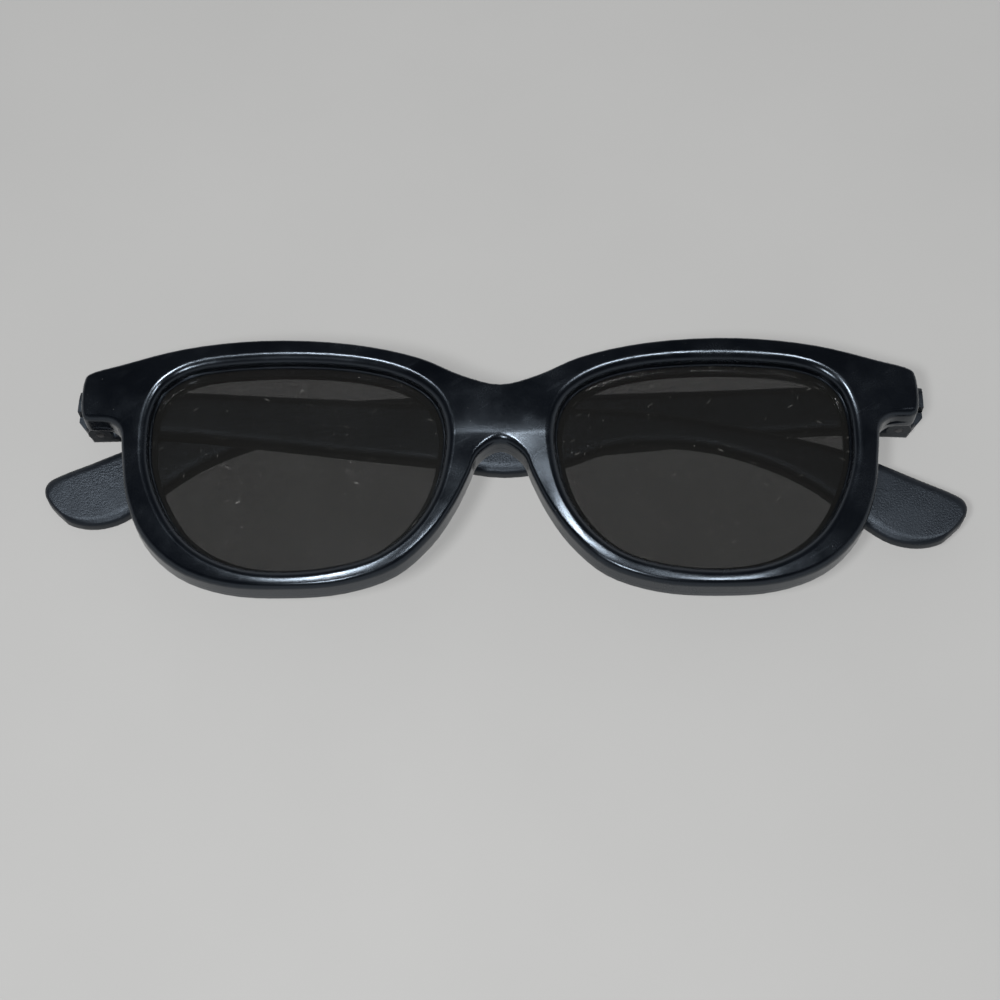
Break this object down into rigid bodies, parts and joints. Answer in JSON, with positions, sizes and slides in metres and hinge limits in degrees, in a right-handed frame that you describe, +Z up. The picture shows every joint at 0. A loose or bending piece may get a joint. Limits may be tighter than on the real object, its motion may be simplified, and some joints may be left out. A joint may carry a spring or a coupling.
{
  "type": "folding 3d glasses",
  "caption": "Wrapped plastic glasses frame with stacked polarising lens films and folding temples on pinned hinges, stored folded with the front upwards.",
  "frame": {"origin": "on the floor, under the middle of the folded glasses' bounding box", "axes": "+X along the front towards the right endpiece as seen from the front, +Y towards the top of the glasses, +Z up out of the front's face"},
  "size_m": [0.1644, 0.0484, 0.0216],
  "materials": {
    "frame_plastic": "satin black moulded plastic",
    "temple_plastic": "black moulded plastic, fine grain on the inner face",
    "lens_film": "dark neutral polarising film",
    "pin_steel": "blackened steel"
  },
  "bodies": {
    "right_temple": {"right_temple": "temple_plastic"},
    "front": {"front_frame": "frame_plastic", "rear_frame": "frame_plastic", "left_retarder": "lens_film", "left_polariser": "lens_film", "right_retarder": "lens_film", "right_polariser": "lens_film", "left_hinge_pin": "pin_steel", "right_hinge_pin": "pin_steel"},
    "left_temple": {"left_temple": "temple_plastic"}
  },
  "joints": [
    {"name": "right_temple_hinge", "type": "hinge", "parent": "right_temple", "child": "front", "pos_m": [0.07264, 0.01635, 0.0033], "axis": [0.0288, 0.9996, -0.0007], "range_deg": [0, 91.6]},
    {"name": "left_temple_hinge", "type": "hinge", "parent": "front", "child": "left_temple", "pos_m": [-0.07172, 0.01635, 0.00683], "axis": [0.0288, 0.9996, -0.0007], "range_deg": [0, 94.6]}
  ],
  "couplings": [
    {"joint": "left_temple_hinge", "follows": "right_temple_hinge", "ratio": 0.25}
  ]
}
